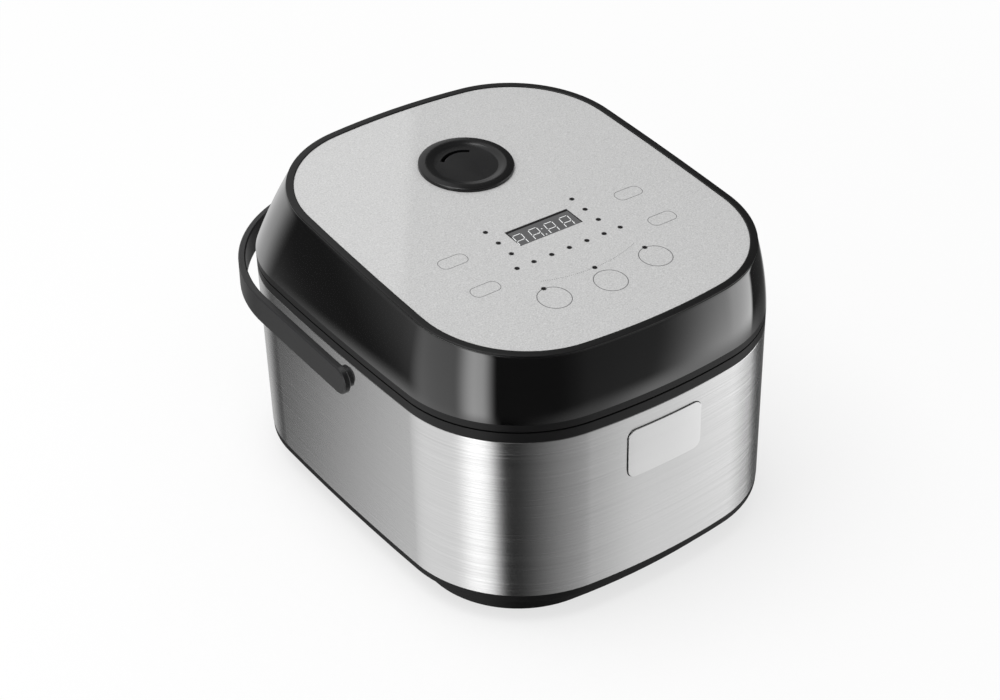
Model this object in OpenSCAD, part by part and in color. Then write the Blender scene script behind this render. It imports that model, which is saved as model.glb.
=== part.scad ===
// Electric rice cooker with a hinged lid, a carry handle and a push-button latch.
// Millimetres. X to the right, Y to the back, Z up. The floor is Z = 0.
// The origin lies on the floor under the middle of the whole outline, handle included.

/* [Body] */
// Width across the steel wrap
body_w = 270; // [266:1:274]
// Depth of the body, front to back
body_d = 338; // [334:1:342]
// Corner radius seen from above
body_r = 88; // [86:1:90]
// Height of the steel wrap at mid depth
wrap_h = 123.5; // [122:0.5:125]
// Thickness of the steel wrap
wrap_t = 1.2; // [1:0.1:1.4]

/* [Base] */
// Height of the feet below the tray
foot_h = 3; // [2:0.5:4]
// Height of the tray below the base band
tray_h = 15; // [13:0.5:16]
// Height of the black base band
band_h = 5; // [4:0.5:6]
// Radius of each foot
foot_r = 11; // [9:0.5:12]

/* [Lid] */
// Slope of the seam between lid and body, degrees
seam_tilt = 1; // [0.8:0.1:1.2]
// Slope of the control panel, degrees
panel_tilt = 5.1; // [4.9:0.1:5.3]
// Height of the dark collar between steel and lid
ring_h = 6.8; // [6:0.1:7]
// Height of the lid's lower band
lid_band = 5; // [4.5:0.1:5.5]
// Outward swell of the glossy skirt at half its height
skirt_swell = 1.2; // [0.5:0.1:2]
// Radius of the steam cap
cap_r = 32.4; // [31.5:0.1:33]

/* [Handle] */
// Width over the outside of the handle
handle_w = 291.4; // [290:0.2:293]
// Height of the handle strap
strap_h = 20; // [18:0.5:20]
// Thickness of the handle strap
strap_t = 5; // [4.6:0.1:5.2]
// Thickness of the ends of the handle, with the boss
boss_t = 9.6; // [9:0.1:10]
// Radius of that boss
boss_r = 7.4; // [7:0.1:8]
// Upward slope of the folded handle, degrees
handle_tilt = 2.4; // [2:0.1:3]

/* [Pot] */
// Inside radius of the inner pot
pot_r = 108; // [106:0.5:108]
// Inside depth of the inner pot
pot_depth = 112; // [108:1:112]

/* [Hidden] */

// bow radii of the outline: front and back, then the sides
bow_f = 469;
bow_s = 2198;
// lid rim outline, in the plane of the panel
rim_w = 250.6;
rim_d = 292.4;
rim_r = 80;
rim_bow_f = 450;
rim_bow_s = 2900;
rim_wide = 5.3;
// everything round the pot shares this centre
pot_y = -17;
base_z = foot_h + tray_h + band_h;
wrap_z = base_z + wrap_h;
panel_z = wrap_z + 66.4;
handle_back = 186.3;
// half the difference between the reach of the handle and of the button
y_mid = 8.2;
deck_z = 147;
pot_z = 34;
hinge_y = body_d / 2 - 6;
hinge_z = wrap_z + 16.5;
pivot_z = wrap_z - 8.6;
latch_y = 19 - body_d / 2;
latch_z = 88;
button_z = 114.6;
button_w = 58.6;
button_h = 35.6;
cap_v = 59.5;
e = 0.01;

// ---------- outlines made of true arcs ----------
// an arc is [centre x, centre y, radius, start angle, end angle]
function arc_at(s, a) = [s[0] + s[2] * cos(a), s[1] + s[2] * sin(a)];
function meet(xb, ya, r1, r2) =
  let (d = norm([xb, ya]), t = (r1 * r1 - r2 * r2 + d * d) / (2 * d), h = sqrt(r1 * r1 - t * t))
  [-h * ya / d + t * xb / d, ya - t * ya / d - h * xb / d];
function plan_arcs(a, b, rc, rf, rs) =
  let (
    ya = b - rf,
    xb = a - rs,
    c = meet(xb, ya, rf - rc, rs - rc),
    p = atan2(c[1], c[0] - xb),
    q = atan2(c[1] - ya, c[0])
  )
  [
    [xb, 0, rs, -p, p],
    [c[0], c[1], rc, p, q],
    [0, ya, rf, q, 180 - q],
    [-c[0], c[1], rc, 180 - q, 180 - p],
    [-xb, 0, rs, 180 - p, 180 + p],
    [-c[0], -c[1], rc, 180 + p, 180 + q],
    [0, -ya, rf, 180 + q, 360 - q],
    [c[0], -c[1], rc, 360 - q, 360 - p]
  ];
function body_arcs(inset) =
  plan_arcs(body_w / 2 - inset, body_d / 2 - inset, body_r - inset, bow_f - inset, bow_s - inset);
function rim_arcs(inset) =
  plan_arcs(rim_w / 2 - inset, rim_d / 2 - inset, rim_r - inset, rim_bow_f - inset, rim_bow_s - inset);
function tray_arcs(inset) =
  plan_arcs(body_w / 2 - 12 - inset, body_d / 2 - 13 - inset, 69 - inset, bow_f - 13, bow_s - 12);
function fine(r) = r > 1000 ? 2880 : r > 200 ? 720 : r > 30 ? 144 : 48;

// piece of a disc between two angles, reaching a few millimetres inwards
module arc_band(s, deep, over = 0, grow = 0) {
  k = s[2] * (1 / cos((s[4] - s[3]) / 2 + over) - 1) * 1.5 + 1;
  near = [s[0], s[1], s[2] - deep];
  far = [s[0], s[1], s[2] + k];
  intersection() {
    translate([s[0], s[1]]) circle(s[2] + grow, $fn = fine(s[2]));
    polygon([arc_at(near, s[3] - over), arc_at(far, s[3] - over), arc_at(far, s[4] + over), arc_at(near, s[4] + over)]);
  }
}

// closed outline of eight arcs: every second one is a corner, laid over the ends of its neighbours
module arc_shape(arcs) {
  polygon([for (s = arcs) arc_at([s[0], s[1], s[2] - 4], s[3])]);
  for (i = [0:2:6]) arc_band(arcs[i], 8);
  for (i = [1:2:7]) arc_band(arcs[i], 12, 3, 0.006);
}

// rectangle with round corners, centred
module round_rect(w, h, r) {
  x = w / 2 - r;
  y = h / 2 - r;
  arcs = [[x, -y], [x, y], [-x, y], [-x, -y]];
  square([w, h - 2 * r], center = true);
  square([w - 2 * r, h], center = true);
  for (s = arcs) translate([s[0], s[1]]) circle(r, $fn = 64);
}

module body_plan(inset) arc_shape(body_arcs(inset));
module rim_plan(inset) arc_shape(rim_arcs(inset));
module tray_plan(inset) arc_shape(tray_arcs(inset));

module wall_plan(outer, inner) {
  difference() {
    body_plan(outer);
    body_plan(inner);
  }
}

// ---------- frames ----------
module place() translate([0, -y_mid, 0]) children();
// plane parallel to the seam, a height above the top edge of the steel
module seam_frame(up) translate([0, 0, wrap_z + up]) rotate([seam_tilt, 0, 0]) children();
// plane of the control panel
module top_frame() translate([0, pot_y, panel_z]) rotate([panel_tilt, 0, 0]) children();
module above(up) seam_frame(up) translate([-300, -300, 0]) cube([600, 600, 200]);
module below(up) seam_frame(up) translate([-300, -300, -200]) cube([600, 600, 200]);
function seam_height(y, up) = wrap_z + up + y * tan(seam_tilt);
function top_point(x, v, w) =
  [x, pot_y + v * cos(panel_tilt) - w * sin(panel_tilt), panel_z + v * sin(panel_tilt) + w * cos(panel_tilt)];

// round bar of a coil spring, swept along its own helix about Z
module coil(radius, wire, height, turns, steps = 14, sides = 6) {
  n = turns * steps;
  rise = height - wire;
  points = [
    for (i = [0:n]) for (j = [0:sides - 1])
      let (a = 360 * i / steps, b = 360 * j / sides, r = radius + wire / 2 * cos(b))
      [r * cos(a), r * sin(a), wire / 2 + rise * i / n + wire / 2 * sin(b)]
  ];
  faces = concat(
    [[for (j = [0:sides - 1]) j]],
    [[for (j = [sides - 1:-1:0]) n * sides + j]],
    [for (i = [0:n - 1]) for (j = [0:sides - 1])
      let (k = (j + 1) % sides) [i * sides + j, (i + 1) * sides + j, (i + 1) * sides + k, i * sides + k]]
  );
  polyhedron(points, faces, convexity = 6);
}

// ---------- body ----------
module steel_wrap() {
  color("silver") place() difference() {
    translate([0, 0, base_z]) linear_extrude(wrap_h + 8) wall_plan(0, wrap_t);
    above(0);
    translate([0, -100, button_z]) rotate([90, 0, 0]) linear_extrude(100)
      round_rect(button_w + 1, button_h + 1, 6.5);
    translate([-36, 120, 99]) cube([72, 60, 33]);
    translate([-20.2, 120, 37.8]) cube([40.4, 60, 28.4]);
    for (s = [-1, 1]) translate([s * 140, pot_y, pivot_z]) rotate([0, 90, 0])
      cylinder(r = 4.1, h = 30, center = true, $fn = 48);
  }
}

module base_tray() {
  posts = [30, 150, 270];
  color("#1c1c1e") place() difference() {
    union() {
      translate([0, 0, foot_h]) linear_extrude(tray_h) difference() {
        tray_plan(0);
        tray_plan(2.5);
      }
      translate([0, 0, foot_h]) linear_extrude(3) tray_plan(1);
      translate([0, 0, foot_h + tray_h]) linear_extrude(2.5) difference() {
        body_plan(0.3);
        tray_plan(2.5);
      }
      translate([0, 0, foot_h + tray_h + 2]) linear_extrude(band_h - 2) wall_plan(0.3, 5);
      translate([0, 0, base_z - 1]) linear_extrude(9) wall_plan(wrap_t + 0.2, 4);
      for (a = posts) translate([100 * cos(a), pot_y + 100 * sin(a), foot_h + 1]) cylinder(r = 6, h = 17, $fn = 48);
      for (s = [-1, 1]) translate([s * 48 - 4, 114, foot_h + 1]) cube([8, 8, 92]);
    }
    for (a = posts) translate([100 * cos(a), pot_y + 100 * sin(a), 0]) {
      cylinder(r = 2, h = 30, $fn = 32);
      cylinder(r = 4.2, h = foot_h + 3.5, $fn = 32);
    }
    for (x = [-1, 1]) for (y = [-1, 1]) translate([x * 88, y * 112, 0])
      cylinder(r = foot_r + 0.1, h = foot_h + 1, $fn = 64);
    for (i = [-5:5]) for (y = [-58, 24]) translate([i * 9 - 1.6, y - 16, 0]) cube([3.2, 32, 20]);
    for (s = [-1, 1]) translate([s * 44.5 - 0.6, 116.9, 22]) cube([1.2, 1.8, 100]);
  }
}

module feet() {
  color("#101010") place() for (x = [-1, 1]) for (y = [-1, 1]) translate([x * 88, y * 112, 0]) {
    rotate_extrude($fn = 64) polygon([[0, 0], [foot_r - 2, 0], [foot_r - 0.4, 1.6], [foot_r, foot_h + 1], [0, foot_h + 1]]);
  }
}

module tray_screws() {
  color("#9a9a9a") place() for (a = [30, 150, 270]) translate([100 * cos(a), pot_y + 100 * sin(a), 0])
    difference() {
      union() {
        translate([0, 0, foot_h + 1]) cylinder(r = 4, h = 2.5, $fn = 32);
        translate([0, 0, foot_h + 2]) cylinder(r = 1.95, h = 15, $fn = 32);
      }
      translate([-3, -0.5, foot_h]) cube([6, 1, 2]);
      translate([-0.5, -3, foot_h]) cube([1, 6, 2]);
    }
}

module collar() {
  color("#2b2b2d") place() difference() {
    union() {
      intersection() {
        translate([0, 0, wrap_z - 10]) linear_extrude(24) wall_plan(0, 14);
        above(0);
        below(ring_h);
      }
      intersection() {
        translate([0, 0, 139.5]) linear_extrude(24) wall_plan(wrap_t + 0.1, 14);
        below(ring_h);
      }
      translate([0, 0, 141]) linear_extrude(deck_z - 141) body_plan(13);
      translate([0, 148, 134]) cylinder(r = 5, h = 8, $fn = 48);
    }
    translate([0, pot_y, 130]) cylinder(r = 112, h = 60, $fn = 180);
    translate([-17, latch_y - 15, 130]) cube([34, 27, 60]);
    translate([0, 148, 130]) cylinder(r = 3.5, h = 30, $fn = 48);
    for (s = [-1, 1]) translate([s * 129.5 - 5, pot_y - 9, 130]) cube([10, 18, 15.8]);
  }
}

module heat_shield() {
  color("#b5b8ba") place() translate([0, pot_y, 0]) rotate_extrude($fn = 180)
    polygon([
      [113, 141], [118, 141], [118, 139.8], [116, 139.8], [116, 21], [28, 21], [28, 22.4], [114.6, 22.4],
      [114.6, 139.8], [113, 139.8]
    ]);
}

module heating_plate() {
  color("#8d9093") place() translate([0, pot_y, 0]) {
    rotate_extrude($fn = 144) polygon([[20, 27], [88, 27], [92, 30], [92, 32.2], [88, 33.8], [20, 33.8]]);
    rotate_extrude($fn = 144) translate([66, 27]) circle(4, $fn = 32);
    for (a = [90, 210, 330]) rotate(a) translate([80, 0, 22.4]) cylinder(r = 5, h = 6, $fn = 32);
  }
}

module sensor_holder() {
  color("#c9c4ba") place() translate([0, pot_y, 0]) rotate_extrude($fn = 96)
    polygon([[6.1, 9], [24, 9], [24, 19.4], [34, 19.4], [34, 21], [22.4, 21], [22.4, 10.8], [6.1, 10.8]]);
}

module sensor_plunger() {
  color("#d6d8da") place() translate([0, pot_y, 0]) rotate_extrude($fn = 96)
    polygon([[0, 9.4], [6, 9.4], [6, 26], [15, 26], [17.5, 27.5], [17.5, 33], [16.8, 33.7], [0, 33.7]]);
}

module sensor_spring() {
  color("#c0c0c0") place() translate([0, pot_y, 10.85]) coil(10, 1.4, 15.1, 4);
}

module inner_pot() {
  r = pot_r + 2;
  k = 22;
  color("#3a3a3c") place() translate([0, pot_y, 0]) rotate_extrude($fn = 180) polygon(concat(
    [[0, pot_z]],
    [for (a = [-90:15:0]) [r - k + k * cos(a), pot_z + k + k * sin(a)]],
    [[r, deck_z], [119, deck_z], [119, deck_z + 1.6], [118.4, deck_z + 2], [pot_r, deck_z + 2]],
    [for (a = [0:-15:-90]) [r - k + (k - 2) * cos(a), deck_z + 2 - pot_depth + k - 2 + (k - 2) * sin(a)]],
    [[0, deck_z + 2 - pot_depth]]
  ));
}

module power_board() {
  color("#2e6b45") place() {
    translate([-44.9, 117, 22]) cube([89.8, 1.6, 72]);
    translate([-34, 118.6, 60]) cube([28, 16, 24]);
    translate([4, 118.6, 62]) cube([18, 14, 20]);
    translate([26, 118.6, 66]) rotate([-90, 0, 0]) cylinder(r = 6, h = 14, $fn = 48);
    translate([-30, 118.6, 30]) cube([22, 10, 14]);
    for (i = [0:3]) translate([2 + i * 9, 118.6, 30]) cube([6, 11, 10]);
  }
}

module power_inlet() {
  color("#18181a") place() translate([0, 0, 52]) difference() {
    union() {
      translate([-20, 166, -14]) cube([40, 4, 28]);
      translate([-15.5, 146, -11.5]) cube([31, 21, 23]);
      intersection() {
        translate([-23, 163.5, -17]) cube([46, 10, 34]);
        translate([0, body_d / 2 - bow_f, -40]) cylinder(r = bow_f - wrap_t - 0.02, h = 80, $fn = 720);
      }
    }
    difference() {
      translate([-12.2, 151, -8.2]) cube([24.4, 30, 16.4]);
      for (s = [-1, 1]) translate([s * 12.2, 140, 8.2]) rotate([0, 45, 0]) cube([7, 90, 7], center = true);
    }
  }
  color("#c8b56a") place() translate([0, 0, 52]) for (p = [[0, 3], [-7, -2.5], [7, -2.5]])
    translate([p[0] - 1, 150.5, p[1] - 2]) cube([2, 14, 4]);
}

// piece of the outside wall, between two distances from the outline, front or back
module bowed_plate(outside, inside) {
  difference() {
    circle(bow_f + outside, $fn = 720);
    circle(bow_f - inside, $fn = 720);
  }
}

module release_button() {
  color("#c4c6c8") place() {
    intersection() {
      translate([0, bow_f - body_d / 2, button_z - 30]) linear_extrude(60) bowed_plate(1, 2.5);
      translate([0, -100, button_z]) rotate([90, 0, 0]) linear_extrude(100) round_rect(button_w, button_h, 6);
    }
    translate([-5, -body_d / 2 + 2, button_z - 2.5]) cube([10, 9.7, 5]);
    translate([0, latch_y - 7.3, button_z]) rotate([0, 90, 0]) cylinder(r = 3, h = 10, center = true, $fn = 48);
    for (s = [-1, 1]) translate([s * 20, -body_d / 2 + 2, button_z]) rotate([-90, 0, 0]) cylinder(r = 1.8, h = 4, $fn = 32);
  }
}

module button_springs() {
  color("#c0c0c0") place() for (s = [-1, 1])
    translate([s * 20, -body_d / 2 + 3.1, button_z]) rotate([-90, 0, 0]) coil(3, 0.9, 9.3, 5, 12, 5);
}

module latch_bracket() {
  y = latch_y;
  color("#2f3033") place() difference() {
    union() {
      translate([-30, y + 11.5, 78]) cube([60, 3, 63]);
      for (s = [-1, 1]) translate([s * 14 - 1.5, y - 6, 80]) cube([3, 18, 50]);
      for (s = [-1, 1]) translate([s * 21.5 - 6.5, y - 6.5, button_z - 7]) cube([13, 2.2, 14]);
    }
    translate([0, y, latch_z]) rotate([0, 90, 0]) cylinder(r = 2, h = 80, center = true, $fn = 48);
    translate([-10, y + 5, 96]) cube([20, 20, 20]);
  }
}

module latch_pin() {
  color("#b0b0b0") place() translate([0, latch_y, latch_z]) rotate([0, 90, 0])
    cylinder(r = 2, h = 33, center = true, $fn = 48);
}

module latch_hook() {
  y = latch_y;
  color("#d0d0d0") place() difference() {
    union() {
      translate([-6, y, latch_z]) rotate([0, 90, 0]) cylinder(r = 6, h = 12, $fn = 64);
      translate([6, y, 0]) rotate([90, 0, -90]) linear_extrude(12) polygon([
        [5, latch_z], [4, 100], [4, 144.8], [5.6, 144.8], [5.6, 147], [4.6, 150], [2, 151], [-1, 149],
        [-1.5, 140], [-4, 118], [-4, 96], [-5, latch_z]
      ]);
      translate([-12, y, latch_z]) rotate([0, 90, 0]) cylinder(r = 4, h = 24, $fn = 48);
    }
    translate([0, y, latch_z]) rotate([0, 90, 0]) cylinder(r = 2.06, h = 60, center = true, $fn = 48);
  }
}

module hinge_bracket() {
  color("#2b2b2d") place() difference() {
    union() {
      translate([-40, hinge_y, hinge_z]) rotate([0, 90, 0]) cylinder(r = 6.4, h = 80, $fn = 96);
      intersection() {
        translate([-40, hinge_y - 6.4, 140]) cube([80, 12.4, hinge_z - 140]);
        above(ring_h);
      }
    }
    translate([0, hinge_y, hinge_z]) rotate([0, 90, 0]) cylinder(r = 2.5, h = 100, center = true, $fn = 48);
    translate([-9, hinge_y - 8, hinge_z - 5.6]) cube([18, 20, 20]);
  }
}

module hinge_pin() {
  color("#b8babc") place() translate([0, hinge_y, hinge_z]) rotate([0, 90, 0])
    cylinder(r = 2.5, h = 117, center = true, $fn = 48);
}

module hinge_spring() {
  color("#a8a8a8") place() translate([-8, hinge_y, hinge_z]) rotate([0, 90, 0]) coil(4, 1.3, 16, 8, 14, 6);
}

// ---------- handle ----------
module handle_pivots() {
  color("#1c1c1e") place() for (s = [-1, 1]) translate([0, pot_y, pivot_z]) rotate([0, s * 90, 0]) {
    translate([0, 0, body_w / 2 - 6]) cylinder(r = 3.9, h = 14.8, $fn = 48);
    translate([0, 0, body_w / 2 + 0.05]) cylinder(r = 5.6, h = handle_w / 2 - boss_t - body_w / 2 - 0.35, $fn = 64);
    translate([0, 0, body_w / 2 - 5]) cylinder(r = 7.5, h = 3.6, $fn = 64);
  }
}

// strap section, standing on its edge, with its outer face at x = 0
module strap_section() {
  c = 0.9;
  t = strap_t;
  h = strap_h / 2;
  polygon([[-t + c, -h], [-c, -h], [0, -h + c], [0, h - c], [-c, h], [-t + c, h], [-t, h - c], [-t, -h + c]]);
}

// a round end with a boss on its inner side that fills the gap to the body
module strap_end() {
  r = strap_h / 2;
  rotate([0, -90, 0]) rotate_extrude($fn = 96)
    polygon([[0, 0], [r - 0.9, 0], [r, 0.9], [r, strap_t - 0.9], [r - 0.9, strap_t],
      [boss_r + 0.6, strap_t], [boss_r, strap_t + 0.6], [boss_r, boss_t - 0.7], [boss_r - 0.7, boss_t], [0, boss_t]]);
}

module carry_handle() {
  w = handle_w / 2;
  r = 108.6;
  back = handle_back - pot_y;
  color("#232325") place() translate([0, pot_y, pivot_z]) rotate([handle_tilt, 0, 0]) difference() {
    union() {
      for (s = [0, 1]) mirror([s, 0, 0]) {
        translate([w, 0, 0]) strap_end();
        translate([w, back - r, 0]) rotate([90, 0, 0]) linear_extrude(back - r) strap_section();
        translate([w - r, back - r, 0]) rotate_extrude(angle = 90, $fn = 288) translate([r, 0]) strap_section();
        translate([-e, back, 0]) rotate([90, 0, 90]) linear_extrude(w - r + e) strap_section();
      }
    }
    for (s = [-1, 1]) rotate([0, s * 90, 0]) translate([0, 0, w - boss_t - 1])
      cylinder(r = 3.97, h = boss_t - 0.6, $fn = 48);
  }
}

// ---------- condensate cup ----------
module cup_bay() {
  color("#232325") place() difference() {
    intersection() {
      translate([-38, 139, 96.8]) cube([76, 60, 37.2]);
      translate([0, body_d / 2 - bow_f, 90]) cylinder(r = bow_f - wrap_t - 0.02, h = 60, $fn = 720);
    }
    translate([-36, 141.5, 99]) cube([72, 60, 33]);
    translate([0, 148, 120]) cylinder(r = 4, h = 30, $fn = 48);
  }
}

module condensate_cup() {
  color("#3a3a3d") place() difference() {
    union() {
      intersection() {
        translate([0, body_d / 2 - bow_f, 99.4]) linear_extrude(32.2) bowed_plate(0.8, 2);
        translate([-35.6, 100, 90]) cube([71.2, 100, 60]);
      }
      translate([-34.5, 142.5, 100]) cube([69, 24.2, 27]);
    }
    translate([-32.5, 144.5, 102]) cube([65, 20.2, 40]);
    translate([0, body_d / 2 + 11, 104]) rotate([0, 90, 0]) cylinder(r = 14, h = 36, center = true, $fn = 96);
  }
}

// ---------- lid ----------
module hinge_notch() translate([-60, 150, 140]) cube([120, 40, hinge_z + 9 - 140]);

module lid_frame() {
  color("#2b2b2d") place() difference() {
    union() {
      difference() {
        intersection() {
          translate([0, 0, wrap_z]) linear_extrude(30) difference() {
            body_plan(0);
            translate([0, pot_y]) circle(115, $fn = 180);
          }
          above(ring_h + 1.2);
          below(ring_h + 1.2 + 2.6);
        }
        hinge_notch();
      }
      difference() {
        intersection() {
          translate([0, 0, wrap_z]) linear_extrude(30) wall_plan(0, 3.4);
          above(ring_h + 1.2);
          below(ring_h + 1.2 + lid_band);
        }
        hinge_notch();
      }
      intersection() {
        translate([0, pot_y, 0]) rotate_extrude($fn = 180)
          polygon([[0, 162], [115, 162], [115, 150], [117.4, 150], [117.4, 164.5], [0, 164.5]]);
        above(ring_h + 1.2);
      }
      translate([0, pot_y, 0]) rotate_extrude($fn = 64) polygon([[0, 164.5], [0, 152.4], [6, 152.4], [6, 164.5]]);
      for (s = [-1, 1]) translate([s * 49.5 - 8.5, 0, 0]) {
        translate([0, hinge_y, hinge_z]) rotate([0, 90, 0]) cylinder(r = 6, h = 17, $fn = 96);
        rotate([90, 0, 90]) linear_extrude(17)
          polygon([[136, 158.6], [hinge_y, 157.4], [hinge_y, hinge_z + 6], [150, hinge_z + 6], [136, 163]]);
      }
      for (x = [-1, 1]) for (y = [-1, 1]) translate([x * 98, y > 0 ? 88 : -106, seam_height(y * 97, 9)])
        cylinder(r = 5.5, h = 14, $fn = 48);
    }
    for (s = [-1, 1]) translate([s * 49.5, hinge_y, hinge_z]) rotate([0, 90, 0])
      cylinder(r = 2.56, h = 30, center = true, $fn = 48);
    translate([0, pot_y + 59.5, 150]) cylinder(r = 15, h = 30, $fn = 64);
    for (x = [-1, 1]) for (y = [-1, 1]) translate([x * 98, y > 0 ? 88 : -106, 0]) {
      translate([0, 0, 150]) cylinder(r = 2, h = 18, $fn = 32);
      translate([0, 0, 140]) cylinder(r = 4, h = seam_height(y > 0 ? 88 : -106, ring_h + 2.6) - 140, $fn = 32);
    }
    translate([-14.1, latch_y - 13.1, 140]) cube([28.2, 2.2, 40]);
  }
}

// points of one ring of the skirt: f = 0 at the lower band, f = 1 under the rim
function skirt_ring(f, inset, swell) = [
  for (k = [0:7])
    let (lo = body_arcs(inset)[k], hi = rim_arcs(inset)[k], n = k % 2 == 1 ? 14 : (k % 4 == 0 ? 5 : 9))
    for (i = [0:n - 1])
      let (
        a = lo[3] + (lo[4] - lo[3]) * i / n,
        b = hi[3] + (hi[4] - hi[3]) * i / n,
        p = arc_at(lo, a),
        q = arc_at(hi, b),
        t = top_point(q[0], q[1], -0.6),
        o = swell * 4 * f * (1 - f)
      )
      [
        p[0] * (1 - f) + t[0] * f + o * cos(a),
        p[1] * (1 - f) + t[1] * f + o * sin(a),
        seam_height(p[1], ring_h + 1.2 + lid_band) * (1 - f) + t[2] * f
      ]
];

module lid_skirt() {
  levels = 6;
  rings = concat(
    [for (i = [0:levels]) skirt_ring(i / levels, 0, skirt_swell)],
    [skirt_ring(1, 2.6, 0), skirt_ring(0, 2.6, 0)]
  );
  n = len(rings[0]);
  m = len(rings);
  color("#0a0a0b") place() difference() {
    polyhedron(
      [for (r = rings) each r],
      [for (j = [0:m - 1]) for (i = [0:n - 1])
        let (a = j * n + i, b = j * n + (i + 1) % n, c = ((j + 1) % m) * n + (i + 1) % n, d = ((j + 1) % m) * n + i)
        each [[a, d, c], [a, c, b]]],
      convexity = 8
    );
    hinge_notch();
  }
}

module lid_rim() {
  color("#2b2b2d") place() top_frame() {
    translate([0, 0, -0.6]) linear_extrude(1.3) difference() {
      rim_plan(0);
      rim_plan(rim_wide);
    }
    translate([0, 0, -5]) linear_extrude(4.41) difference() {
      rim_plan(3);
      rim_plan(rim_wide);
    }
    translate([0, 0, -5]) linear_extrude(2.9) difference() {
      rim_plan(rim_wide - 0.01);
      rim_plan(10);
    }
  }
}

led_spots = [
  for (s = [-1, 1]) each [[s * 34.8, -11.4], [s * 34.8, -25.6], [s * 34.8, -39.6], [s * 40.1, -80.6]],
  [0, -80.3], [0, -54.3], [-14, -54.3], [14, -54.3], [-28, -54.3], [28, -54.3], [-41.2, -54.3], [41.2, -54.3]
];

module top_panel() {
  color("#cfd0d2") place() top_frame() translate([0, 0, -2.1]) linear_extrude(2.1) difference() {
    rim_plan(rim_wide + 0.1);
    translate([0, cap_v]) circle(28, $fn = 144);
    translate([0, -27.2]) square([50, 17.8], center = true);
    for (p = led_spots) translate(p) circle(1.5, $fn = 32);
  }
}

module display_window() {
  color("#4a4a4c") place() top_frame() translate([-24.95, -36.05, -2.1]) cube([49.9, 17.7, 2.1]);
}

module indicator_lenses() {
  color("#222222") place() top_frame() for (p = led_spots) translate([p[0], p[1], -2.1]) cylinder(r = 1.45, h = 2.15, $fn = 32);
}

module control_board() {
  color("#2e6b45") place() top_frame() {
    translate([-82, -108, -12]) cube([164, 104, 1.6]);
    translate([-26, -37.5, -10.4]) cube([52, 21, 8.2]);
    for (x = [-78, 78]) for (y = [-103, -9]) translate([x, y, -10.5]) cylinder(r = 3, h = 8.35, $fn = 32);
    translate([-60, -20, -16]) cube([22, 12, 4.1]);
    translate([44, -24, -14]) cube([14, 14, 2.1]);
  }
}

key_spots = [[-70.4, -26.2], [70.4, -26.2], [-70.4, -61.3], [70.4, -61.3], [-40.1, -91.7], [40.1, -91.7], [0, -96.6]];

module touch_springs() {
  color("#c8a860") place() top_frame() for (p = key_spots) translate([p[0], p[1], -10.38]) {
    difference() {
      cylinder(r1 = 3, r2 = 5, h = 8.2, $fn = 48);
      translate([0, 0, -1]) cylinder(r1 = 2, r2 = 4.4, h = 10.2, $fn = 48);
    }
  }
}

module steam_duct() {
  color("#2b2b2d") place() intersection() {
    top_frame() translate([0, cap_v, 0]) rotate_extrude($fn = 96)
      polygon([
        [27.6, -2.15], [31, -2.15], [31, -4], [29, -4], [29, -7.5], [24, -7.5], [24, -80], [22.3, -80], [22.3, -6],
        [27.6, -6]
      ]);
    translate([-100, -100, 164.5]) cube([200, 200, 100]);
  }
}

module steam_cap() {
  r = cap_r;
  color("#2b2b2d") place() top_frame() translate([0, cap_v, 0]) difference() {
    rotate_extrude($fn = 144) polygon([
      [0, 1.5], [21.4, 1.5], [22.9, 1.7], [24.4, 2.3], [25.6, 2.75], [26.8, 2.9], [28, 2.9], [31.2, 2.6],
      [r - 0.3, 2.2], [r, 1.6], [r, 0.1],
      [27.3, 0.1], [27.3, -2], [26, -3.4], [22, -3.4], [22, -8], [20.6, -8], [20.6, -10.6], [22, -10.6], [22, -14],
      [19.6, -14], [19.6, -1.1], [0, -1.1]
    ]);
    rotate([0, 0, 47]) rotate_extrude(angle = 92, $fn = 144) translate([14.5, -6]) square([2.9, 9]);
  }
}

module cap_seal() {
  color("#e8e8e6") place() top_frame() translate([0, cap_v, -9.3]) rotate_extrude($fn = 96)
    polygon([[20.65, -1.2], [21.9, -1.2], [22.2, 0], [21.9, 1.2], [20.65, 1.2]]);
}

module inner_lid() {
  color("#c9cbcd") place() translate([0, pot_y, 0]) difference() {
    rotate_extrude($fn = 180) polygon([
      [7.2, 155], [60, 154.2], [96, 152.6], [101, 151.2], [106, 151.2], [106, 152.4], [102, 152.4], [97, 153.8],
      [60, 155.4], [7.2, 156.2]
    ]);
    translate([0, 59.5, 140]) for (i = [0:5]) rotate(i * 60) translate([7, 0, 0]) cylinder(r = 2.2, h = 30, $fn = 32);
    translate([0, 59.5, 140]) cylinder(r = 2.2, h = 30, $fn = 32);
  }
}

module lid_seal() {
  color("#d9d9d6") place() translate([0, pot_y, 0]) rotate_extrude($fn = 180)
    polygon([
      [104, 150.3], [109, 150.3], [111, 149.05], [114, 149.05], [114.6, 150.5], [112.5, 152], [112.5, 154.6],
      [107, 154.6], [104, 153.3], [104, 152.45], [106.05, 152.45], [106.05, 151.15], [104, 151.15]
    ]);
}

module inner_lid_knob() {
  color("#e0e0de") place() translate([0, pot_y, 0]) rotate_extrude($fn = 64)
    polygon([
      [0, 149.6], [9, 149.6], [11, 151.4], [11, 154.85], [7.1, 154.85], [7.1, 156.25], [9.4, 156.25], [9.4, 158],
      [6.05, 158], [6.05, 152.3], [0, 152.3]
    ]);
}

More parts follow.
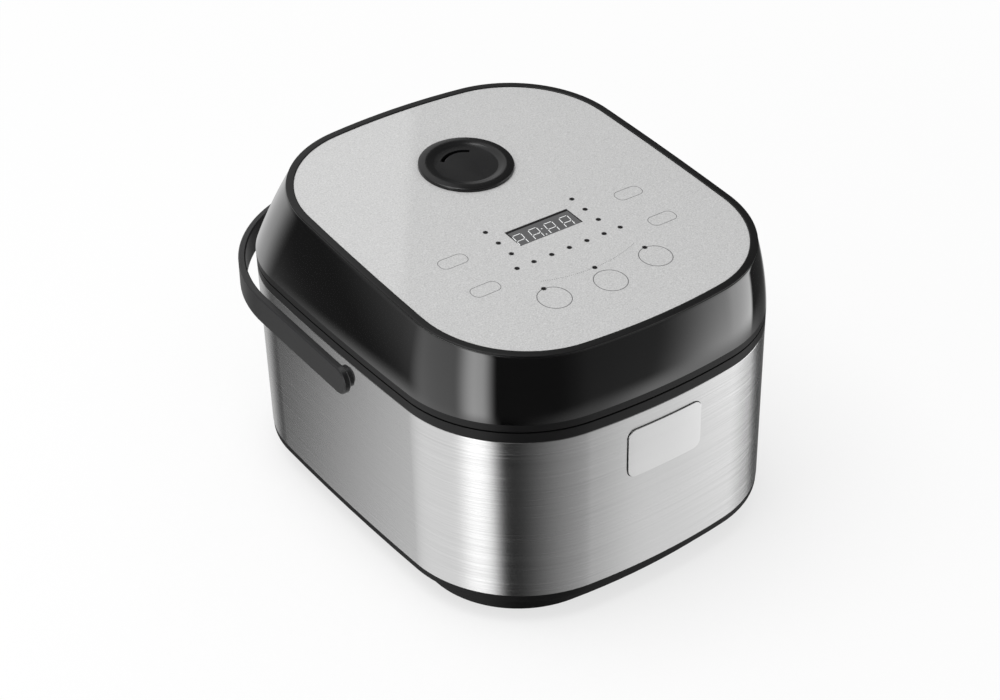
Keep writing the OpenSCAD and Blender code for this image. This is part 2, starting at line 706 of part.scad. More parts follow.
module latch_catch() {
  y = latch_y;
  color("#b8babc") place() difference() {
    union() {
      translate([-14, y - 13, 142.4]) cube([28, 2, seam_height(y - 5, 11) - 142.4]);
      translate([-14, y - 13, 142.4]) cube([28, 7, 2]);
      translate([-14, y - 13, seam_height(y - 5, 10.75)]) cube([28, 12, 1.2]);
    }
    for (s = [-1, 1]) translate([s * 11, y, 147.6]) rotate([90, 0, 0]) cylinder(r = 1.6, h = 40, $fn = 32);
  }
}

module lid_screws() {
  color("#9a9a9a") place() for (x = [-1, 1]) for (y = [-1, 1]) translate([x * 98, y > 0 ? 88 : -106, 0]) {
    z = seam_height(y > 0 ? 88 : -106, ring_h + 2.6);
    translate([0, 0, z - 1.2]) cylinder(r = 3.4, h = 1.2, $fn = 32);
    translate([0, 0, z - 1]) cylinder(r = 1.95, h = 10, $fn = 32);
  }
}

steel_wrap();
base_tray();
feet();
tray_screws();
collar();
heat_shield();
heating_plate();
sensor_holder();
sensor_plunger();
sensor_spring();
inner_pot();
power_board();
power_inlet();
release_button();
button_springs();
latch_bracket();
latch_pin();
latch_hook();
hinge_bracket();
hinge_pin();
hinge_spring();
handle_pivots();
carry_handle();
cup_bay();
condensate_cup();
lid_frame();
lid_skirt();
lid_rim();
top_panel();
display_window();
indicator_lenses();
control_board();
touch_springs();
steam_duct();
steam_cap();
cap_seal();
inner_lid();
lid_seal();
inner_lid_knob();
latch_catch();
lid_screws();
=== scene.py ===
import math

import bmesh
import bpy
from mathutils import Matrix, Vector


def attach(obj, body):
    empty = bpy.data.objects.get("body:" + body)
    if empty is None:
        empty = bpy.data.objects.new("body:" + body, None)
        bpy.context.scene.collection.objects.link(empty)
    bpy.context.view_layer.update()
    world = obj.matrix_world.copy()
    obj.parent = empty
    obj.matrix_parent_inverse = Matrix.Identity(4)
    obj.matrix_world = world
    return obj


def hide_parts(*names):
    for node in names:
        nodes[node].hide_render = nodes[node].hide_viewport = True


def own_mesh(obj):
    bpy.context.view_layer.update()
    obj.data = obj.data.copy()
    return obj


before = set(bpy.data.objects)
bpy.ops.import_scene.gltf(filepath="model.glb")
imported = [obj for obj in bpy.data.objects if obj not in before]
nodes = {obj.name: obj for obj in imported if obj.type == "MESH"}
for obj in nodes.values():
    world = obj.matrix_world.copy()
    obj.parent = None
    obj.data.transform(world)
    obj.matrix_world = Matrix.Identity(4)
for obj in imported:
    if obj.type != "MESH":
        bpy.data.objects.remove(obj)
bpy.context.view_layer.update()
scene = bpy.context.scene

# ---------------------------------------------------------------- sizes, in millimetres
Y_MID = 8.2                 # the row frame lies this far behind the middle of the steel
BODY_W, BODY_D, BODY_R = 270.0, 338.0, 88.0
BOW_F, BOW_S = 469.0, 2198.0
RIM_W, RIM_D, RIM_R = 250.6, 292.4, 80.0
RIM_BOW_F, RIM_BOW_S = 450.0, 2900.0
WRAP_Z, RING_H, LID_BAND = 146.5, 6.8, 5.0
PANEL_Z, PANEL_TILT, SEAM_TILT = 212.9, math.radians(5.1), math.radians(1.0)
POT_Y = -17.0
SKIRT_SWELL, SKIRT_T = 1.2, 2.6
SEAM_GAP, TOP_DROP = 1.2, 0.6    # between body and lid; from the panel down to the skirt's top
BASE_Z, WRAP_T = 23.0, 1.2
LIP = 0.55                  # radius of the wrap's rolled top edge
BUTTON_W, BUTTON_H, BUTTON_Z = 58.6, 35.6, 114.6
BUTTON_GAP, BUTTON_HOLE_R = 1.0, 6.5
BAY_HOLE, INLET_HOLE = (36, 99, 132), (20.2, 37.8, 66.2)    # half width, bottom, top
NOTCH_X, NOTCH_Y, NOTCH_TOP = 60.0, 150.0, 172.0


def row(x, y, z):
    """A point of the body, in millimetres, as a point of the row frame in metres."""
    return Vector((x / 1000, (y - Y_MID) / 1000, z / 1000))


def top_point(x, v, w=0.0):
    """A point on the control panel: x to the right, v to the back, w above it."""
    c, s = math.cos(PANEL_TILT), math.sin(PANEL_TILT)
    return row(x, POT_Y + v * c - w * s, PANEL_Z + v * s + w * c)


def seam_height(y, up):
    """The height of a point up above the tilted seam between body and lid."""
    return WRAP_Z + up + y * math.tan(SEAM_TILT)


# ---------------------------------------------------------------- outlines of eight tangent arcs
def plan_arcs(a, b, rc, rf, rs):
    """Arcs (centre x, y, radius, from, to) of an outline with half width a and half depth b.

    rc, rf and rs are the radii of the corners, of the front and back, and of the sides.
    """
    ya, xb = b - rf, a - rs
    r1, r2 = rf - rc, rs - rc
    d = math.hypot(xb, ya)
    t = (r1 * r1 - r2 * r2 + d * d) / (2 * d)
    h = math.sqrt(r1 * r1 - t * t)
    cx, cy = -h * ya / d + t * xb / d, ya - t * ya / d - h * xb / d
    p, q = math.atan2(cy, cx - xb), math.atan2(cy - ya, cx)
    pi = math.pi
    return [
        (xb, 0, rs, -p, p),
        (cx, cy, rc, p, q),
        (0, ya, rf, q, pi - q),
        (-cx, cy, rc, pi - q, pi - p),
        (-xb, 0, rs, pi - p, pi + p),
        (-cx, -cy, rc, pi + p, pi + q),
        (0, -ya, rf, pi + q, 2 * pi - q),
        (cx, -cy, rc, 2 * pi - q, 2 * pi - p),
    ]


def body_arcs(inset):
    """The outline of the steel body, moved in by inset."""
    return plan_arcs(
        BODY_W / 2 - inset, BODY_D / 2 - inset, BODY_R - inset, BOW_F - inset, BOW_S - inset)


def rim_arcs(inset):
    """The outline of the rim round the control panel, moved in by inset."""
    return plan_arcs(
        RIM_W / 2 - inset, RIM_D / 2 - inset, RIM_R - inset, RIM_BOW_F - inset, RIM_BOW_S - inset)


def arc_points(arcs, counts):
    """Points round an outline, with the direction that each one faces."""
    out = []
    for k, (cx, cy, r, a0, a1) in enumerate(arcs):
        n = counts[k % 2] if k % 2 else counts[2 if k % 4 == 0 else 3]
        for i in range(n):
            a = a0 + (a1 - a0) * i / n
            out.append((cx + r * math.cos(a), cy + r * math.sin(a), a))
    return out


# ---------------------------------------------------------------- meshes
SMOOTH = math.radians(40)    # faces that meet at less than this are shaded as one


def make_mesh(name, verts, faces, body, material):
    """A new smooth piece that rides on a body."""
    mesh = bpy.data.meshes.new(name)
    mesh.from_pydata([tuple(v) for v in verts], [], faces)
    mesh.validate()
    obj = bpy.data.objects.new(name, mesh)
    scene.collection.objects.link(obj)
    bm = bmesh.new()
    bm.from_mesh(mesh)
    bmesh.ops.recalc_face_normals(bm, faces=bm.faces)
    bm.to_mesh(mesh)
    bm.free()
    mesh.shade_smooth()
    mesh.set_sharp_from_angle(angle=SMOOTH)
    mesh.materials.append(material)
    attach(obj, body)
    return obj


def cut_prism(obj, outline, y0, y1):
    """Cuts an upright outline of (x, z) points, in millimetres, from y0 to y1 out of a piece."""
    n = len(outline)
    verts = [row(x, y, z) for y in (y0, y1) for x, z in outline]
    faces = [tuple(range(n)), tuple(range(2 * n - 1, n - 1, -1))]
    faces += [(i, i + n, (i + 1) % n + n, (i + 1) % n) for i in range(n)]
    cut_with(obj, verts, faces)


def cut_with(obj, verts, faces):
    """Cuts a closed mesh out of a piece."""
    mesh = bpy.data.meshes.new("cutter")
    mesh.from_pydata([tuple(v) for v in verts], [], faces)
    bm = bmesh.new()
    bm.from_mesh(mesh)
    bmesh.ops.recalc_face_normals(bm, faces=bm.faces)
    bm.to_mesh(mesh)
    bm.free()
    cutter = bpy.data.objects.new("cutter", mesh)
    scene.collection.objects.link(cutter)
    mod = obj.modifiers.new("cut", "BOOLEAN")
    mod.object, mod.operation, mod.solver = cutter, "DIFFERENCE", "EXACT"
    dg = bpy.context.evaluated_depsgraph_get()
    done = bpy.data.meshes.new_from_object(obj.evaluated_get(dg))
    obj.modifiers.clear()
    obj.data = done
    bpy.data.objects.remove(cutter)


def cut_box(obj, lo, hi):
    """Cuts a box out of a piece, in the row frame."""
    corners = [Vector((x, y, z)) for x in (lo[0], hi[0])
               for y in (lo[1], hi[1]) for z in (lo[2], hi[2])]
    sides = [(0, 1, 3, 2), (4, 6, 7, 5), (0, 4, 5, 1), (2, 3, 7, 6), (0, 2, 6, 4), (1, 5, 7, 3)]
    cut_with(obj, corners, sides)


# ---------------------------------------------------------------- materials
class Look:
    """A material on a Principled shader, with noise for its colour, roughness and relief."""

    def __init__(self, name, colour, rough, metallic=0.0, specular=0.5):
        self.mat = bpy.data.materials.new(name)
        self.mat.use_nodes = True
        self.tree = self.mat.node_tree
        self.links = self.tree.links
        self.bsdf = self.tree.nodes["Principled BSDF"]
        self.colour = colour
        self.set("Base Color", (*colour, 1))
        self.set("Roughness", rough)
        self.set("Metallic", metallic)
        self.set("Specular IOR Level", specular)
        self.height = None
        self.coords = self.node("ShaderNodeTexCoord").outputs["Object"]

    def node(self, kind, **props):
        n = self.tree.nodes.new(kind)
        for k, v in props.items():
            setattr(n, k, v)
        return n

    def set(self, socket, value):
        self.bsdf.inputs[socket].default_value = value

    def noise(self, scale, stretch=(1, 1, 1), detail=3.0, roughness=0.5):
        """Noise of so many lumps to the metre."""
        m = self.node("ShaderNodeMapping")
        m.inputs["Scale"].default_value = stretch
        self.links.new(self.coords, m.inputs["Vector"])
        n = self.node("ShaderNodeTexNoise")
        n.inputs["Scale"].default_value = scale
        n.inputs["Detail"].default_value = detail
        n.inputs["Roughness"].default_value = roughness
        self.links.new(m.outputs["Vector"], n.inputs["Vector"])
        return n.outputs["Fac"]

    def span(self, value, lo, hi, from_lo=0.3, from_hi=0.7):
        """The middle of the noise's range, stretched from lo to hi."""
        r = self.node("ShaderNodeMapRange")
        r.inputs["From Min"].default_value = from_lo
        r.inputs["From Max"].default_value = from_hi
        r.inputs["To Min"].default_value = lo
        r.inputs["To Max"].default_value = hi
        self.links.new(value, r.inputs["Value"])
        return r.outputs["Result"]

    def vary_colour(self, value, amount, from_lo=0.3, from_hi=0.7):
        """Darker and lighter by amount, as the noise goes."""
        mix = self.node("ShaderNodeMix", data_type="RGBA")
        dark = tuple(max(0.0, c * (1 - amount)) for c in self.colour)
        light = tuple(min(1.0, c * (1 + amount)) for c in self.colour)
        mix.inputs["A"].default_value = (*dark, 1)
        mix.inputs["B"].default_value = (*light, 1)
        self.links.new(self.span(value, 0, 1, from_lo, from_hi), mix.inputs["Factor"])
        self.links.new(mix.outputs["Result"], self.bsdf.inputs["Base Color"])
        return self

    def vary_rough(self, value, lo, hi):
        """Rougher and smoother between two values."""
        self.links.new(self.span(value, lo, hi), self.bsdf.inputs["Roughness"])
        return self

    def relief(self, value, distance_mm, strength=1.0):
        """Fine bumps so many millimetres deep."""
        b = self.node("ShaderNodeBump")
        b.inputs["Strength"].default_value = strength
        b.inputs["Distance"].default_value = distance_mm / 1000
        self.links.new(value, b.inputs["Height"])
        if self.height is not None:
            self.links.new(self.height, b.inputs["Normal"])
        self.height = b.outputs["Normal"]
        self.links.new(self.height, self.bsdf.inputs["Normal"])
        return self


def matt_plastic(name, colour, rough=0.5, grain=0.012, specular=0.4):
    k = Look(name, colour, rough, specular=specular)
    fine, broad = k.noise(1400, detail=2), k.noise(18, detail=4)
    k.vary_colour(broad, 0.06).vary_rough(broad, rough - 0.04, rough + 0.05)
    return k.relief(fine, grain).mat


def plain_metal(name, colour, rough=0.3, amount=0.06):
    k = Look(name, colour, rough, metallic=1.0)
    n = k.noise(320, detail=4)
    return k.vary_colour(n, amount).vary_rough(n, rough - 0.05, rough + 0.08).relief(n, 0.004).mat


def brushed_steel(name, colour, streaks):
    """Steel brushed level round the body: streaks is how far its fine lines differ."""
    k = Look(name, colour, 0.3, metallic=1.0)
    lines = k.noise(60, stretch=(0.16, 0.16, 38), detail=6, roughness=0.7)
    k.vary_colour(lines, streaks)
    k.vary_rough(lines, 0.2, 0.28)
    k.relief(lines, 0.001, 0.1)
    k.set("Anisotropic", 0.93)
    k.set("Anisotropic Rotation", 0.25)
    t = k.node("ShaderNodeTangent", direction_type="RADIAL", axis="Z")
    k.links.new(t.outputs["Tangent"], k.bsdf.inputs["Tangent"])
    return k.mat


def glossy_plastic(name, colour, rough=0.06, coat=0.0):
    k = Look(name, colour, rough, specular=0.5)
    broad = k.noise(26, detail=2)
    k.vary_colour(broad, 0.08).vary_rough(broad, rough, rough + 0.025)
    k.relief(k.noise(9, detail=1), 0.01, 0.1)
    if coat:
        k.set("Coat Weight", coat)
        k.set("Coat Roughness", 0.02)
        k.set("Coat IOR", 1.5)
    return k.mat


def silver_panel(name):
    """Silver paint under a clear sheet: tiny bright and dark flakes."""
    k = Look(name, (0.575, 0.575, 0.573), 0.5, metallic=0.0, specular=0.3)
    flakes, soft = k.noise(1100, detail=2, roughness=0.7), k.noise(30, detail=3)
    k.vary_colour(flakes, 0.22, 0.25, 0.75).vary_rough(soft, 0.42, 0.5).relief(flakes, 0.01, 0.5)
    k.set("Coat Weight", 1.0)
    k.set("Coat Roughness", 0.004)
    return k.mat


def rubber(name, colour, rough=0.7):
    k = Look(name, colour, rough, specular=0.25)
    n = k.noise(500, detail=4)
    return k.vary_colour(n, 0.1).vary_rough(n, rough - 0.06, rough + 0.08).relief(n, 0.03, 0.5).mat


def board(name):
    """Green solder mask over copper tracks."""
    k = Look(name, (0.03, 0.16, 0.07), 0.35)
    w = k.node("ShaderNodeTexBrick")
    w.inputs["Color1"].default_value = (0.03, 0.17, 0.07, 1)
    w.inputs["Color2"].default_value = (0.025, 0.13, 0.06, 1)
    w.inputs["Mortar"].default_value = (0.06, 0.26, 0.12, 1)
    w.inputs["Scale"].default_value = 260
    w.inputs["Mortar Size"].default_value = 0.04
    k.links.new(k.coords, w.inputs["Vector"])
    k.links.new(w.outputs["Color"], k.bsdf.inputs["Base Color"])
    return k.relief(k.noise(900), 0.02, 0.4).mat


STEEL = brushed_steel("brushed_steel", (0.655, 0.655, 0.655), 0.14)
BAND = matt_plastic("band_plastic", (0.007, 0.007, 0.0072), 0.38, specular=0.2)
TRAY = matt_plastic("tray_plastic", (0.005, 0.005, 0.0052), 0.45, specular=0.15)
RIM = matt_plastic("rim_plastic", (0.005, 0.005, 0.0051), 0.34, grain=0.006, specular=0.35)
STRAP = matt_plastic("strap_plastic", (0.011, 0.011, 0.0115), 0.42, specular=0.55)
GLOSS = glossy_plastic("gloss_black", (0.0015, 0.0015, 0.0016), 0.04, coat=1.0)
PANEL = silver_panel("silver_panel")
DISPLAY = glossy_plastic("display_glass", (0.118, 0.118, 0.12), 0.16)
LENS = glossy_plastic("lens_dark", (0.012, 0.012, 0.012), 0.15)
CAP = matt_plastic("cap_plastic", (0.007, 0.007, 0.0072), 0.2, grain=0.003, specular=0.4)
BUTTON = brushed_steel("button_metal", (0.76, 0.76, 0.76), 0.03)
FOOT = rubber("foot_rubber", (0.02, 0.02, 0.02))
SEAL = rubber("seal_silicone", (0.62, 0.62, 0.6), 0.5)
POT = matt_plastic("pot_coating", (0.05, 0.05, 0.052), 0.38, grain=0.02)
PRESSED = plain_metal("pressed_aluminium", (0.72, 0.73, 0.74), 0.34)
CAST = plain_metal("cast_aluminium", (0.5, 0.51, 0.52), 0.5, amount=0.14)
WIRE = plain_metal("spring_wire", (0.62, 0.62, 0.62), 0.28)
PAINTED = matt_plastic("painted_bracket", (0.03, 0.03, 0.033), 0.4)
CERAMIC = matt_plastic("holder_ceramic", (0.66, 0.62, 0.55), 0.6, grain=0.03)
KNOB = matt_plastic("knob_plastic", (0.6, 0.6, 0.58), 0.45)
BRASS = plain_metal("contact_brass", (0.72, 0.55, 0.28), 0.3)
BOARD = board("solder_mask")
INK = rubber("print_grey", (0.15, 0.15, 0.152), 0.6)
SEGMENT = rubber("segment_white", (0.86, 0.87, 0.87), 0.5)

NODE_LOOKS = {
    "steel_wrap": STEEL, "base_tray": TRAY, "feet": FOOT, "tray_screws": WIRE, "collar": BAND,
    "heat_shield": PRESSED, "heating_plate": CAST, "sensor_holder": CERAMIC,
    "sensor_plunger": PRESSED, "sensor_spring": WIRE, "inner_pot": POT,
    "power_board": BOARD, "power_inlet": TRAY,
    "release_button": BUTTON, "button_springs": WIRE, "latch_bracket": PAINTED, "latch_pin": WIRE,
    "latch_hook": PRESSED, "hinge_bracket": BAND, "hinge_pin": WIRE, "hinge_spring": WIRE,
    "handle_pivots": STRAP, "carry_handle": STRAP, "cup_bay": TRAY, "condensate_cup": STRAP,
    "lid_frame": BAND, "lid_rim": RIM, "top_panel": PANEL, "display_window": DISPLAY,
    "indicator_lenses": LENS, "control_board": BOARD, "touch_springs": BRASS, "steam_duct": BAND,
    "steam_cap": CAP, "cap_seal": SEAL, "inner_lid": PRESSED, "lid_seal": SEAL,
    "inner_lid_knob": KNOB, "latch_catch": PRESSED, "lid_screws": WIRE, "lid_skirt": GLOSS,
}
# edge radius in millimetres, where light catches a softened edge
EDGES = {
    "collar": 0.4, "lid_frame": 0.4, "lid_rim": 0.5, "carry_handle": 0.5,
    "release_button": 0.6, "base_tray": 0.4, "steam_cap": 0.3, "condensate_cup": 0.5,
    "cup_bay": 0.4, "power_inlet": 0.5, "handle_pivots": 0.4, "hinge_bracket": 0.4,
}
WELD, EDGE_ANGLE = 0.000004, math.radians(38)    # metres; corners sharper than this are softened
for node_name, look in NODE_LOOKS.items():
    piece = nodes[node_name]
    piece.data.materials.clear()
    piece.data.materials.append(look)
    piece.data.shade_smooth()
    if node_name in EDGES:
        weld = piece.modifiers.new("weld", "WELD")
        weld.merge_threshold = WELD
        soft = piece.modifiers.new("edge", "BEVEL")
        soft.width = EDGES[node_name] / 1000
        soft.segments = 3
        soft.limit_method = "ANGLE"
        soft.angle_limit = EDGE_ANGLE
        soft.use_clamp_overlap = True
        even = piece.modifiers.new("normals", "WEIGHTED_NORMAL")
        even.mode, even.weight = "FACE_AREA", 60


# Springs whose coils are copied below as smooth pieces on the body: joint, way of the push,
# its fixed end in metres, and the share of its length left at the joint's limit.
SPRINGS = {
    "button_springs": ("button_press", (0, 1, 0), (0, -0.1647, 0), 0.67),
    "sensor_spring": ("sensor_press", (0, 0, 1), (0, 0, 0.01085), 0.79),
}


def soft_copy(node, name, body, material):
    """The node's own mesh as a new piece, with points that share a place made one."""
    index, faces = {}, []
    at = [index.setdefault(tuple(round(c, 7) for c in node.matrix_world @ v.co), len(index))
          for v in node.data.vertices]
    for poly in node.data.polygons:
        corners = list(dict.fromkeys(at[i] for i in poly.vertices))
        if len(corners) > 2:
            faces.append(corners)
    return make_mesh(name, list(index), faces, body, material)


for node_name, (joint, way, fixed, keep) in SPRINGS.items():
    coil = soft_copy(nodes[node_name], node_name + "_coil", "cooker_body", WIRE)
    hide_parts(node_name)
    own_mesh(coil)


# the steel next to the strap mirrors the bright table, as in the photo, and not the strap
for node_name in ("carry_handle", "handle_pivots"):
    nodes[node_name].visible_glossy = False


# ---------------------------------------------------------------- skirt of the lid
def skirt():
    """The glossy shell between the lower band and the rim, with its inner side."""
    counts = (0, 40, 12, 30)
    lo, hi = arc_points(body_arcs(0), counts), arc_points(rim_arcs(0), counts)
    lo_in, hi_in = (arc_points(arcs(SKIRT_T), counts) for arcs in (body_arcs, rim_arcs))
    levels, rings = 28, []

    def ring(bottom, top, f, swell):
        """Points at the share f of the way up from one outline to the other."""
        out = []
        for (px, py, a), (qx, qy, _) in zip(bottom, top):
            c, s = math.cos(PANEL_TILT), math.sin(PANEL_TILT)
            tx, ty, tz = qx, POT_Y + qy * c + TOP_DROP * s, PANEL_Z + qy * s - TOP_DROP * c
            o = swell * 4 * f * (1 - f)
            z0 = seam_height(py, RING_H + SEAM_GAP + LID_BAND)
            out.append(row(
                px * (1 - f) + tx * f + o * math.cos(a),
                py * (1 - f) + ty * f + o * math.sin(a),
                z0 * (1 - f) + tz * f))
        return out

    for i in range(levels):
        rings.append(ring(lo, hi, 0.99 * i / (levels - 1), SKIRT_SWELL))
    # a small round at the top edge
    for inset, f in ((0.06, 0.9945), (0.2, 0.998), (0.45, 1.0)):
        rings.append(ring(lo, arc_points(rim_arcs(inset), counts), f, SKIRT_SWELL))
    rings += [ring(lo_in, hi_in, 1, 0), ring(lo_in, hi_in, 0, 0)]
    n, m = len(lo), len(rings)
    verts = [v for r in rings for v in r]
    faces = [(j * n + i, j * n + (i + 1) % n, (j + 1) % m * n + (i + 1) % n, (j + 1) % m * n + i)
             for j in range(m) for i in range(n)]
    return verts, faces


verts, faces = skirt()
shell = make_mesh("skirt_shell", verts, faces, "lid", GLOSS)
cut_box(shell, row(-NOTCH_X, NOTCH_Y, 140), row(NOTCH_X, NOTCH_Y + 40, NOTCH_TOP))
shell.data.shade_smooth()
shell.data.set_sharp_from_angle(angle=math.radians(40))
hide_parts("lid_skirt")


# ---------------------------------------------------------------- steel shell
def outward(x, y, arcs):
    """The direction that an outline faces nearest to a point, as an angle."""
    for cx, cy, r, a0, a1 in arcs:
        a = math.atan2(y - cy, x - cx)
        while a < a0 - 1e-6:
            a += 2 * math.pi
        if a <= a1 + 1e-6 and abs(math.hypot(x - cx, y - cy) - r) < 4:
            return a
    return math.atan2(y, x)


def steel_shell():
    """The brushed wrap with a rolled top lip and its three openings."""
    outer = body_arcs(0)
    counts = (0, 48, 20, 40)
    # inset from the outline and height above the seam, or None for the base
    profile = [(0.0, None), (0.0, -LIP)]
    for i in range(1, 6):
        a = math.radians(18 * i)
        profile.append((LIP * (1 - math.cos(a)), -LIP + LIP * math.sin(a)))
    profile += [(WRAP_T, 0.0), (WRAP_T, None)]
    verts, rings = [], []
    for inset, rise in profile:
        pts = arc_points(body_arcs(inset), counts)
        rings.append([len(verts) + i for i in range(len(pts))])
        for x, y, _ in pts:
            verts.append(row(x, y, BASE_Z if rise is None else seam_height(y, rise)))
    n, m = len(rings[0]), len(rings)
    faces = [
        (rings[j][i], rings[j][(i + 1) % n], rings[(j + 1) % m][(i + 1) % n], rings[(j + 1) % m][i])
        for j in range(m) for i in range(n)]
    shell = make_mesh("steel_shell", verts, faces, "cooker_body", STEEL)
    opening = pill(0, BUTTON_Z, BUTTON_W + BUTTON_GAP, BUTTON_H + BUTTON_GAP, BUTTON_HOLE_R)
    cut_prism(shell, opening, -200, -100)
    for x, z0, z1 in (BAY_HOLE, INLET_HOLE):
        cut_prism(shell, [(-x, z0), (x, z0), (x, z1), (-x, z1)], 120, 200)
    mesh = shell.data
    mesh.shade_smooth()
    mesh.set_sharp_from_angle(angle=math.radians(35))
    # the flat sides take their normals from the true arcs
    normals = []
    for poly in mesh.polygons:
        for k in poly.loop_indices:
            co = mesh.vertices[mesh.loops[k].vertex_index].co
            bx, by = co.x * 1000, co.y * 1000 + Y_MID
            flat = abs(poly.normal.z) < 0.02
            a = outward(bx, by, outer)
            way = Vector((math.cos(a), math.sin(a), 0))
            side = poly.normal.dot(way)
            if flat and side > 0.9:
                normals.append(way)
            elif flat and side < -0.9:
                normals.append(-way)
            else:
                normals.append(Vector(mesh.corner_normals[k].vector))
    mesh.normals_split_custom_set(normals)
    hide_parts("steel_wrap")


# ---------------------------------------------------------------- printing on the panel
class Print:
    """Flat shapes a few hundredths of a millimetre above the panel."""

    def __init__(self, w):
        self.verts, self.faces, self.w = [], [], w

    def point(self, x, v):
        self.verts.append(top_point(x, v, self.w))
        return len(self.verts) - 1

    def loop(self, outer, inner):
        """The strip between two outlines with as many points each."""
        a, b = [self.point(*p) for p in outer], [self.point(*p) for p in inner]
        n = len(a)
        for i in range(n):
            self.faces.append((a[i], a[(i + 1) % n], b[(i + 1) % n], b[i]))

    def fill(self, points):
        self.faces.append(tuple(self.point(*p) for p in points))

    def dot(self, x, v, r, n=20):
        turns = [2 * math.pi * i / n for i in range(n)]
        self.fill([(x + r * math.cos(a), v + r * math.sin(a)) for a in turns])


def pill(x, v, w, h, r, n=10):
    """The outline of a rounded box round (x, v)."""
    out, right, top = [], w / 2 - r, h / 2 - r
    for cx, cy, a0 in ((right, top, 0), (-right, top, 90), (-right, -top, 180), (right, -top, 270)):
        for i in range(n + 1):
            a = math.radians(a0 + 90 * i / n)
            out.append((x + cx + r * math.cos(a), v + cy + r * math.sin(a)))
    return out


steel_shell()
# keys and lamps of the panel: x to the right and v to the back, from over the pot's middle
LINE, BOLD = 0.42, 0.56
OVAL_X, OVAL_V, OVAL = 70.4, (-26.2, -61.3), (20.8, 10.8, 4.7)
ROUND_X, ROUND_V, MIDDLE_V, ROUND = 40.1, -91.7, -96.6, (22, 22.6, 11)
ARC_R, ARC_V, ARC_STEP, ARC_GAP = 103.5, 23.2, 0.8, 2.6
LAMP_R, RING_R = 1.52, 1.85
SIDE_LAMPS = (
    (34.8, -11.4), (34.8, -25.6), (34.8, -39.6), (ROUND_X, -80.6),
    (14, -54.3), (28, -54.3), (41.2, -54.3),
)
MIDDLE_LAMPS = (-80.3, -54.3)


def key_line(x, v, size, width, n):
    """The bare outline of a key, drawn inwards from its size (width, height, corner radius)."""
    w, h, r = size
    outlines.loop(pill(x, v, w, h, r, n), pill(x, v, w - 2 * width, h - 2 * width, r - width, n))


def lamp_ring(x, v):
    """A soft grey ring round an indicator lamp."""
    outlines.loop(pill(x, v, 2 * RING_R, 2 * RING_R, RING_R, 8),
                  pill(x, v, 2 * LAMP_R, 2 * LAMP_R, LAMP_R, 8))


outlines = Print(0.03)
for x in (-OVAL_X, OVAL_X):
    for v in OVAL_V:
        key_line(x, v, OVAL, LINE, 10)
for x, v in ((-ROUND_X, ROUND_V), (ROUND_X, ROUND_V), (0, MIDDLE_V)):
    key_line(x, v, ROUND, BOLD, 18)
# dotted arc through the three lamps over the round keys
for i in range(-30, 31):
    a = math.radians(i * ARC_STEP)
    x, v = ARC_R * math.sin(a), ARC_V - ARC_R * math.cos(a)
    if abs(abs(x) - ROUND_X) > ARC_GAP and abs(x) > ARC_GAP:
        outlines.dot(x, v, 0.3, 8)
for side in (-1, 1):
    for x, v in SIDE_LAMPS:
        lamp_ring(side * x, v)
for v in MIDDLE_LAMPS:
    lamp_ring(0, v)
key_lines = make_mesh("key_outlines", outlines.verts, outlines.faces, "lid", INK)

# display: a faint inner frame and four digits with a colon, cropped by the window's lower edge
digits = Print(0.05)
STROKE, SHORT, DIGIT_W, ROW_H, SLANT = 0.62, 0.42, 6.7, 6.25, 0.125
FIRST_X, DIGIT_STEP = -23.4, 12.4
TOP_V, FLOOR_V = -24.6, -35.95


def bar(x0, v0, x1, v1):
    """One lit segment with pointed ends, a little short of both corners."""
    dx, dv = x1 - x0, v1 - v0
    length = math.hypot(dx, dv)
    ux, uv = dx / length, dv / length
    x0, v0, x1, v1 = x0 + ux * SHORT, v0 + uv * SHORT, x1 - ux * SHORT, v1 - uv * SHORT
    h = STROKE / 2
    digits.fill([
        (x0, v0),
        (x0 + ux * h - uv * h, v0 + uv * h + ux * h),
        (x1 - ux * h - uv * h, v1 - uv * h + ux * h),
        (x1, v1),
        (x1 - ux * h + uv * h, v1 - uv * h - ux * h),
        (x0 + ux * h + uv * h, v0 + uv * h - ux * h),
    ])


for i in range(4):
    left = FIRST_X + DIGIT_STEP * i
    mid, low = TOP_V - ROW_H, FLOOR_V + 0.2
    for side in (0, DIGIT_W):
        bar(left + side, TOP_V, left + side - SLANT * ROW_H, mid)
        bar(left + side - SLANT * ROW_H, mid, left + side - SLANT * (TOP_V - low), low)
    bar(left, TOP_V, left + DIGIT_W, TOP_V)
    bar(left - SLANT * ROW_H, mid, left + DIGIT_W - SLANT * ROW_H, mid)
digits.dot(-2.2, -27.9, 0.55)
digits.dot(-3.2, -34.4, 0.55)
lit = make_mesh("display_segments", digits.verts, digits.faces, "lid", SEGMENT)

inner = Print(0.03)
inner.loop([(-24.6, -18.7), (24.6, -18.7), (24.6, -35.8), (-24.6, -35.8)],
           [(-24.0, -20.6), (24.0, -20.6), (24.0, -35.8), (-24.0, -35.8)])
frame_line = make_mesh("display_mask", inner.verts, inner.faces, "lid", LENS)


# ---------------------------------------------------------------- floor, light and camera
def soft_box(name, size, place, look_at, power):
    lamp = bpy.data.lights.new(name, "AREA")
    lamp.shape, lamp.size, lamp.size_y = "RECTANGLE", size, size
    lamp.energy = power
    obj = bpy.data.objects.new(name, lamp)
    scene.collection.objects.link(obj)
    obj.location = place
    obj.rotation_euler = (Vector(look_at) - Vector(place)).to_track_quat("-Z", "Y").to_euler()


